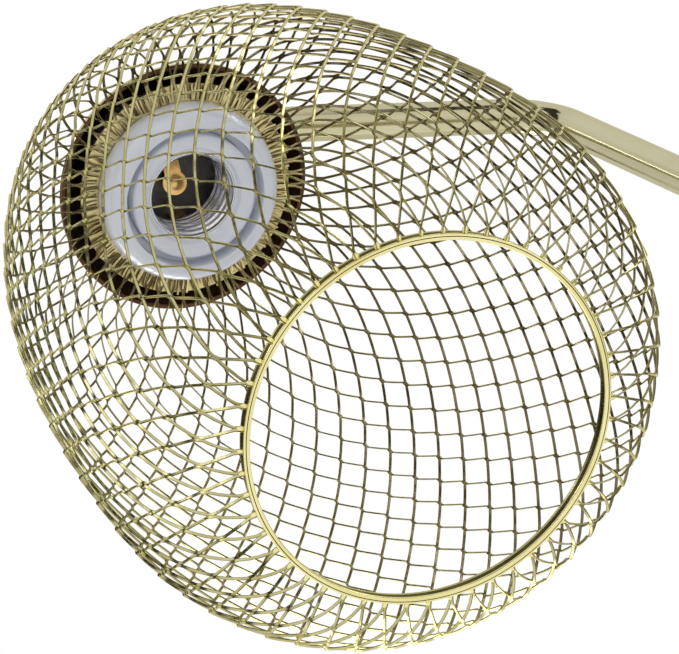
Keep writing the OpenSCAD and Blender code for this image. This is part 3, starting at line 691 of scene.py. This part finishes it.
def makeBraze():
    chance = random.Random(braze["seed"])
    verts, faces = [], []
    for column in range(net["columns"]):
        angle = (2 * column + net["phase"]) * halfColumn
        angle += farShare(angle) * net["farShift"] * halfColumn
        place, outward, around = surfacePoint(braze["run"], angle)
        up = outward.cross(around).normalized()
        spread = chance.uniform(*braze["spread"])
        start = len(verts)
        for i in range(braze["rings"] + 1):
            turn = math.pi * i / braze["rings"]
            for k in range(braze["sides"]):
                lap = fullTurn * k / braze["sides"]
                verts.append(place + around * (braze["width"] * spread * math.sin(turn) * math.cos(lap))
                             + outward * (braze["depth"] * math.sin(turn) * math.sin(lap))
                             + up * (braze["length"] * spread * math.cos(turn)))
        for i in range(braze["rings"]):
            for k in range(braze["sides"]):
                a, b = start + i * braze["sides"], start + (i + 1) * braze["sides"]
                n = (k + 1) % braze["sides"]
                faces.append([a + k, a + n, b + n, b + k])
    return makePiece("brazeFillets", verts, faces, sharpAngle=80)


dress(makeBraze(), "shade", "mesh_gold", [finishes["polishedGold"]])
print("ring made")


# Fitter plate, shade ring and the front of the lampholder

plate = {"inner": 20.4 * mm, "edge": 0.3 * mm}
dress(lathe("fitterDisc", [
    (plate["inner"], fitterLow, plate["edge"]), (fitterRadius, fitterLow, plate["edge"]),
    (fitterRadius, fitterHigh, plate["edge"]), (plate["inner"], fitterHigh, plate["edge"])],
    (shadeX, 0, 0)), "shade", "raw_gold", [finishes["rawGold"]], "fitter_plate")

collar = {"outer": boxSize("shade_ring").x / 2, "bore": 20.06 * mm, "wall": 22.3 * mm, "face": 23.2 * mm,
          "domeHeight": 7.8 * mm, "domeSteps": 14, "groove": 0.35 * mm, "threads": 2, "pitch": 1.5 * mm,
          "crest": 0.2, "root": 0.5, "threadEdge": 0.08 * mm, "recess": 6.6 * mm, "sides": 160}
collarLow, collarHigh = heightsOf(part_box("shade_ring"))


def collarOutline():
    # up the domed flank, over the back, down the threaded bore and through the recess round the sleeve
    reach = collar["outer"] - collar["face"]
    corners = []
    for i in range(collar["domeSteps"] + 1):
        turn = math.pi / 2 * i / collar["domeSteps"]
        corners.append((collar["face"] + reach * math.sin(turn),
                        collarLow + collar["domeHeight"] * (1 - math.cos(turn)),
                        edges["round"] if i == 0 else 0))
    corners += [(collar["outer"], collarHigh, edges["round"]), (collar["bore"], collarHigh, edges["eased"])]
    height = collarLow + collar["recess"]
    for i in range(collar["threads"], 0, -1):
        corners += [(collar["bore"], height + (i - collar["crest"]) * collar["pitch"], collar["threadEdge"]),
                    (collar["bore"] + collar["groove"], height + (i - collar["root"]) * collar["pitch"],
                     collar["threadEdge"])]
    return corners + [(collar["bore"], height, edges["eased"]), (collar["wall"], height, edges["soft"]),
                      (collar["wall"], collarLow, edges["round"])]


dress(lathe("shadeCollar", collarOutline(), (shadeX, 0, 0), sides=collar["sides"]), "ring", "white_plastic",
      [finishes["whitePlastic"]], "shade_ring")

sleeve = {"outer": 20 * mm, "lip": 2.3 * mm, "mouth": 17.4 * mm, "mouthEdge": 0.8 * mm, "throat": 14.6 * mm,
          "throatRise": 2.2 * mm, "throatEdge": 0.05 * mm, "slope": 0.9 * mm, "slopeEdge": 1.2 * mm,
          "bore": 13.9 * mm, "seat": 17.5 * mm, "shoulder": 3 * mm, "sides": 160}
shellLow, shellHigh = heightsOf(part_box("screw_shell"))
shoulderRadius, shoulderLow = sleeve["outer"] + sleeve["shoulder"], sleeveHigh - sleeve["shoulder"]
throatHeight = mouthZ + sleeve["throatRise"]
dress(lathe("lampholderFront", [
    (sleeve["mouth"], mouthZ, sleeve["mouthEdge"]), (sleeve["outer"], mouthZ, sleeve["lip"]),
    (sleeve["outer"], shoulderLow, edges["eased"]), (shoulderRadius, shoulderLow, edges["soft"]),
    (shoulderRadius, sleeveHigh, edges["soft"]), (sleeve["seat"], sleeveHigh, edges["eased"]),
    (sleeve["seat"], shellHigh, edges["crisp"]), (sleeve["bore"], shellHigh, edges["crisp"]),
    (sleeve["bore"], throatHeight + edges["crisp"], sleeve["throatEdge"]),
    (sleeve["throat"], throatHeight, edges["eased"]),
    (sleeve["throat"] + sleeve["slope"], mouthZ + sleeve["slope"], sleeve["slopeEdge"])],
    (shadeX, 0, 0), sides=sleeve["sides"]),
    "lamp", "white_plastic", [finishes["whitePlastic"]], "lampholder_sleeve")

thread = {"pitch": 3.63 * mm, "middle": 13.2 * mm, "depth": 0.5 * mm, "wall": 0.3 * mm, "around": 120,
          "upward": 120, "fade": 1.2 * mm, "flare": 0.4 * mm}


def makeThreadShell():
    around, upward = thread["around"], thread["upward"]
    verts, faces = [], []
    for layer in (0, 1):
        for j in range(upward + 1):
            z = shellLow + (shellHigh - shellLow) * j / upward
            fade = min(1, (z - shellLow) / thread["fade"], (shellHigh - z) / thread["fade"])
            for k in range(around):
                wave = math.cos(fullTurn * ((z - shellLow) / thread["pitch"] - k / around))
                flare = thread["flare"] * max(0, 1 - (z - shellLow) / thread["fade"]) ** 2
                r = thread["middle"] + thread["depth"] * wave * fade + flare + thread["wall"] * (layer - 0.5)
                angle = fullTurn * k / around
                verts.append((shadeX + r * math.cos(angle), r * math.sin(angle), z))
    span = (upward + 1) * around
    for layer in (0, 1):
        for j in range(upward):
            for k in range(around):
                a, b = layer * span + j * around, layer * span + (j + 1) * around
                n = (k + 1) % around
                faces.append([a + k, a + n, b + n, b + k])
    for j in (0, upward):
        for k in range(around):
            a, n = j * around, (k + 1) % around
            faces.append([a + k, a + n, span + a + n, span + a + k])
    return makePiece("threadShell", verts, faces)


dress(makeThreadShell(), "lamp", "nickel_shell", [finishes["nickel"]], "screw_shell")

tongue = {"turn": 80, "root": -7.6 * mm, "slope": 20, "length": 14 * mm, "width": 7.8 * mm, "thick": 0.5 * mm,
          "neck": 0.68, "tip": 0.25 * mm, "bow": 0.5 * mm, "dimple": 0.9 * mm, "dimpleShare": 0.8,
          "steps": 40, "across": 12, "low": 0.45 * mm}
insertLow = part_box("contact_insert")[0][2]


def makeTongue():
    # a spring strip that widens into a round tip, which is pressed out into a dome
    turn, slope = math.radians(tongue["turn"]), math.radians(tongue["slope"])
    tipRadius = tongue["width"] / 2
    tipMiddle = tongue["length"] - tipRadius
    sections = []
    for i in range(tongue["steps"] + 1):
        x = tongue["length"] * i / tongue["steps"]
        half = math.sqrt(max(tipRadius ** 2 - (x - tipMiddle) ** 2, tongue["tip"] ** 2))
        if x < tipMiddle:
            half = max(half, tipRadius * tongue["neck"])
        lower, upper = [], []
        bow = tongue["bow"] * math.sin(math.pi * x / tongue["length"])
        for k in range(tongue["across"] + 1):
            y = half * (2 * k / tongue["across"] - 1)
            off = min(math.hypot(x - tipMiddle, y) / (tipRadius * tongue["dimpleShare"]), 1)
            press = tongue["dimple"] * (0.5 + 0.5 * math.cos(math.pi * off))
            z = insertLow - tongue["low"] - x * math.sin(slope) - bow - press
            along = tongue["root"] + x * math.cos(slope)
            px, py = along * math.cos(turn) - y * math.sin(turn), along * math.sin(turn) + y * math.cos(turn)
            lower.append(Vector((shadeX + px, py, z - tongue["thick"])))
            upper.append(Vector((shadeX + px, py, z)))
        sections.append(lower + upper[::-1])
    return makePiece("springTongue", *sweepSections(sections, closed=False, capped=True), sharpAngle=50)


dress(makeTongue(), "tongue", "contact_brass", [finishes["contactBrass"]], "contact_tongue")

rivet = {"crown": 0.75, "crownEdge": 0.5 * mm, "domeHeight": 0.7 * mm, "sides": 40}
rivetMiddle = boxMiddle("tongue_rivet")
rivetLow, rivetHigh = heightsOf(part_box("tongue_rivet"))
rivetRadius = boxSize("tongue_rivet").x / 2
dress(lathe("rivetHead", [
    (0, rivetLow, 0), (rivetRadius * rivet["crown"], rivetLow + edges["crisp"], rivet["crownEdge"]),
    (rivetRadius, rivetLow + rivet["domeHeight"], edges["eased"]), (rivetRadius, rivetHigh, edges["crisp"]),
    (0, rivetHigh, 0)],
    (rivetMiddle.x, rivetMiddle.y, 0), sides=rivet["sides"]),
    "lamp", "contact_brass", [finishes["contactBrass"]], "tongue_rivet")
print("lampholder made")


# Cup over the neck of the shade, hub, stem and base

cup = {"rim": 40 * mm, "waist": 22.5 * mm, "coneHeight": 39 * mm, "shoulder": 19.5 * mm,
       "shoulderHeight": 45 * mm, "top": 14.5 * mm, "wall": 1 * mm, "hole": 5.1 * mm,
       "beadWidth": 1.5 * mm, "beadHeight": 1.6 * mm, "beadEdge": 0.405 * mm, "bendEdge": 5 * mm,
       "topEdge": 2.5 * mm, "innerTopEdge": 2 * mm, "shoulderSet": 0.4 * mm, "topSet": 0.6 * mm, "sides": 160}
cupLow, cupHigh = heightsOf(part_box("cup"))
inwardFacing = {"sideways": -0.05, "down": -0.3}  # how far a face's normal has to point in or down


def makeCup():
    wall, bead = cup["wall"], cupLow + cup["beadHeight"]
    waist, shoulder = cupLow + cup["coneHeight"], cupLow + cup["shoulderHeight"]
    piece = lathe("neckCup", [
        (cup["hole"], cupHigh, edges["crisp"]), (cup["top"], cupHigh, cup["topEdge"]),
        (cup["shoulder"], shoulder, cup["bendEdge"]), (cup["waist"], waist, cup["bendEdge"]),
        (cup["rim"], bead, edges["soft"]), (cup["rim"], cupLow, cup["beadEdge"]),
        (cup["rim"] - cup["beadWidth"], cupLow, cup["beadEdge"]),
        (cup["rim"] - cup["beadWidth"], bead, edges["soft"]), (cup["waist"] - wall, waist, cup["bendEdge"]),
        (cup["shoulder"] - wall, shoulder - cup["shoulderSet"], cup["bendEdge"]),
        (cup["top"] - cup["topSet"], cupHigh - wall, cup["innerTopEdge"]),
        (cup["hole"], cupHigh - wall, edges["crisp"])],
        (shadeX, 0, 0), sides=cup["sides"])
    for face in piece.data.polygons:
        ray = (face.center - Vector((shadeX, 0, face.center.z))).normalized()
        inward = face.normal.dot(ray) < inwardFacing["sideways"] or face.normal.z < inwardFacing["down"]
        face.material_index = 1 if inward else 0
    return piece


dress(makeCup(), "lamp", "satin_gold", [finishes["satinGold"], finishes["cupInside"]], "cup")

hubLow, hubHigh = heightsOf(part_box("arm_hub"))
hubRadius = boxSize("arm_hub").x / 2
hub = {"bore": 5.05 * mm, "floor": 2.9 * mm, "edge": 1.8 * mm, "dome": 0.8 * mm}
dress(lathe("stemHub", [
    (0, hubLow + hub["floor"], 0), (hub["bore"], hubLow + hub["floor"], edges["crisp"]),
    (hub["bore"], hubLow, edges["eased"]), (hubRadius, hubLow, hub["edge"]),
    (hubRadius, hubHigh - hub["dome"], hub["edge"]), (0, hubHigh, 0)],
    (shadeX, 0, 0)), "lamp", "satin_gold", [finishes["satinGold"]], "arm_hub")

stem = {"radius": 6 * mm, "bore": 4.8 * mm, "bend": 20 * mm, "lean": 12, "armZ": 425 * mm,
        "vertexX": -86.511 * mm, "foot": 5.6 * mm, "armEnd": 6 * mm, "arcSteps": 64, "straightSteps": 8,
        "sides": 96}
coverLow, baseTop = heightsOf(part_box("base_cover"))


def makeStem():
    lean, bend = math.radians(stem["lean"]), stem["bend"]
    middle = Vector((stem["vertexX"] - bend * math.tan(math.pi / 4 - lean / 2), 0, stem["armZ"] - bend))
    up = Vector((-math.sin(lean), 0, math.cos(lean)))
    path = [Vector((0, 0, baseTop)) + up * stem["foot"]]
    turn = math.pi / 2 - lean
    arc = [middle + bend * Vector((math.cos(lean + turn * i / stem["arcSteps"]), 0,
                                   math.sin(lean + turn * i / stem["arcSteps"])))
           for i in range(stem["arcSteps"] + 1)]
    end = Vector((shadeX + stem["armEnd"], 0, stem["armZ"]))
    count = stem["straightSteps"]
    path += [path[0].lerp(arc[0], i / count) for i in range(1, count)] + arc
    path += [arc[-1].lerp(end, i / count) for i in range(1, count + 1)]
    across = Vector((0, 1, 0))
    outer = roundSections(path, across, stem["radius"], stem["sides"])
    inner = roundSections(path, across, stem["bore"], stem["sides"])
    tube = sweepSections(outer + inner[::-1], closed=True, capped=False)
    return makePiece("bentTube", *tube, sharpAngle=50)


dress(makeStem(), "lamp", "satin_gold", [finishes["streakedTubeGold"]], "stem_tube")

cover = {"radius": 90 * mm, "wall": 1.2 * mm, "edge": 4 * mm, "hole": 5.4 * mm, "lip": 0.5 * mm,
         "sides": 180, "edgeSteps": 8}
dress(lathe("baseShell", [
    (cover["hole"], baseTop, edges["eased"]), (cover["radius"], baseTop, cover["edge"]),
    (cover["radius"], coverLow, cover["lip"]), (cover["radius"] - cover["wall"], coverLow, cover["lip"]),
    (cover["radius"] - cover["wall"], baseTop - cover["wall"], cover["edge"] - cover["wall"]),
    (cover["hole"], baseTop - cover["wall"], edges["eased"])],
    (0, 0, 0), sides=cover["sides"], steps=cover["edgeSteps"]),
    "lamp", "satin_gold", [finishes["satinGold"]], "base_cover")
print("stem and base made")


# Camera, world, floor and lights

photoView = {"place": (-0.56792, -0.31126, -0.58804), "lens": 179.148, "nearest": 0.05, "farthest": 30,
             "turn": (0.17191063, 0.96803100, -0.00310958, -0.18262819)}
camera = bpy.data.objects.new("photoCamera", bpy.data.cameras.new("photoCamera"))
camera.location = photoView["place"]
camera.rotation_mode = "QUATERNION"
camera.rotation_quaternion = Quaternion(photoView["turn"])
camera.data.lens = photoView["lens"]
camera.data.clip_start, camera.data.clip_end = photoView["nearest"], photoView["farthest"]
bpy.context.scene.collection.objects.link(camera)
bpy.context.scene.camera = camera
bpy.context.scene.view_settings.view_transform = "Standard"

world = bpy.data.worlds.new("studio")
bpy.context.scene.world = world
world.use_nodes = True
sky = world.node_tree
sky.nodes.clear()
light = {"backdrop": 1.0, "fill": 0.62}


def seenRays(tree, direct=1.0):
    # 1 for rays that meet metal or glass on their way here, direct for the camera's own, 0 for the others
    rays = tree.nodes.new("ShaderNodeLightPath").outputs
    return addMath(tree, "MAXIMUM", addMath(tree, "MULTIPLY", rays["Is Camera Ray"], direct),
                   addMath(tree, "MAXIMUM", rays["Is Glossy Ray"], rays["Is Transmission Ray"]))


backdrop, fill = sky.nodes.new("ShaderNodeBackground"), sky.nodes.new("ShaderNodeBackground")
for shader, strength in ((backdrop, light["backdrop"]), (fill, light["fill"])):
    shader.inputs["Color"].default_value = (1, 1, 1, 1)
    shader.inputs["Strength"].default_value = strength
mixed = sky.nodes.new("ShaderNodeMixShader")
sky.links.new(seenRays(sky), mixed.inputs[0])
sky.links.new(fill.outputs["Background"], mixed.inputs[1])
sky.links.new(backdrop.outputs["Background"], mixed.inputs[2])
sky.links.new(mixed.outputs["Shader"], sky.nodes.new("ShaderNodeOutputWorld").inputs["Surface"])

floorData = {"radius": 3.0, "sides": 96, "drop": 0.5 * mm, "tone": (0.80, 0.80, 0.80), "roughness": 0.7,
             "glow": 0.4, "direct": 0.7}


def makeMatt(name, tone, roughness):
    # a plain finish for the stage
    finish = bpy.data.materials.new(name)
    finish.use_nodes = True
    matt = finish.node_tree.nodes["Principled BSDF"]
    matt.inputs["Base Color"].default_value = (*tone, 1)
    matt.inputs["Roughness"].default_value = roughness
    return finish


floor = makePiece("floor", [(floorData["radius"] * math.cos(fullTurn * k / floorData["sides"]),
                             floorData["radius"] * math.sin(fullTurn * k / floorData["sides"]),
                             -floorData["drop"]) for k in range(floorData["sides"])],
                  [list(range(floorData["sides"]))])
floorFinish = makeMatt("floorFinish", floorData["tone"], floorData["roughness"])
tree = floorFinish.node_tree
glow, total = tree.nodes.new("ShaderNodeEmission"), tree.nodes.new("ShaderNodeAddShader")
tree.links.new(addMath(tree, "MULTIPLY", seenRays(tree, floorData["direct"]), floorData["glow"]),
               glow.inputs["Strength"])
tree.links.new(tree.nodes["Principled BSDF"].outputs["BSDF"], total.inputs[0])
tree.links.new(glow.outputs["Emission"], total.inputs[1])
# from below the floor is clear, because the photo looks up from under the table's height
clear, choice = tree.nodes.new("ShaderNodeBsdfTransparent"), tree.nodes.new("ShaderNodeMixShader")
tree.links.new(tree.nodes.new("ShaderNodeNewGeometry").outputs["Backfacing"], choice.inputs[0])
tree.links.new(total.outputs["Shader"], choice.inputs[1])
tree.links.new(clear.outputs["BSDF"], choice.inputs[2])
tree.links.new(choice.outputs["Shader"], tree.nodes["Material Output"].inputs["Surface"])
floor.data.materials.append(floorFinish)

shadeMiddle = Vector((shadeX, 0, openingZ + 100 * mm))


def addSoftbox(name, direction, distance, width, height, watts):
    lamp = bpy.data.lights.new(name, "AREA")
    lamp.shape = "RECTANGLE"
    lamp.size, lamp.size_y, lamp.energy = width, height, watts
    softbox = bpy.data.objects.new(name, lamp)
    way = Vector(direction).normalized()
    softbox.location = shadeMiddle + way * distance
    softbox.rotation_mode = "QUATERNION"
    softbox.rotation_quaternion = way.to_track_quat("Z", "Y")
    softbox.visible_camera = False
    bpy.context.scene.collection.objects.link(softbox)


# For each softbox: direction and distance from the shade's middle, width, height and watts
softboxes = {"keyBox": ((-1.1, -1.0, 0.0), 1.7, 1.8, 1.0, 7),
             "lowBox": ((-0.9, -0.3, -1.0), 1.0, 0.6, 0.5, 1.5),
             "rimBox": ((1.0, -0.8, 0.4), 1.5, 0.3, 1.0, 3),
             "stemStrip": ((-1.04, -0.19, 0.98), 1.44, 0.05, 1.3, 0.8),
             "topBox": ((-0.1, 0.95, 0.4), 1.5, 1.2, 0.8, 9)}
for name, softbox in softboxes.items():
    addSoftbox(name, *softbox)

# For each dark card: direction and distance from the shade's middle, width and height
flags = {"tone": (0.02, 0.018, 0.012), "roughness": 0.9, "cards": [
    ((-0.66, -0.66, 0.34), 1.5, 2.0, 0.7), ((-1, 0.1, 0.02), 1.6, 1.5, 0.8), ((1, 0, 0.27), 1.6, 1.3, 0.6),
    ((0.66, -0.72, 0), 1.5, 1.0, 0.8), ((-0.16, -0.85, 0.47), 1.5, 0.5, 0.6),
    ((-0.61, -0.61, -0.5), 1.5, 1.5, 0.7), ((-0.34, 0.32, 0.88), 1.5, 0.9, 0.7),
    ((-1.04, -0.11, 0.98), 1.45, 0.07, 1.3)]}
flagFinish = makeMatt("flagFinish", flags["tone"], flags["roughness"])


def addFlag(number, direction, distance, width, height):
    # a dark card beside the lamp, seen only in the metal
    way = Vector(direction).normalized()
    turned = way.to_track_quat("Z", "Y")
    corners = [Vector((x * width / 2, y * height / 2, 0)) for x, y in ((-1, -1), (1, -1), (1, 1), (-1, 1))]
    middle = shadeMiddle + way * distance
    card = makePiece("flag" + str(number), [middle + turned @ corner for corner in corners], [[0, 1, 2, 3]])
    card.data.materials.append(flagFinish)
    card.visible_camera = card.visible_diffuse = card.visible_shadow = False
    card.visible_transmission = card.visible_volume_scatter = False


for number, card in enumerate(flags["cards"]):
    addFlag(number, *card)
print("camera and lights made")
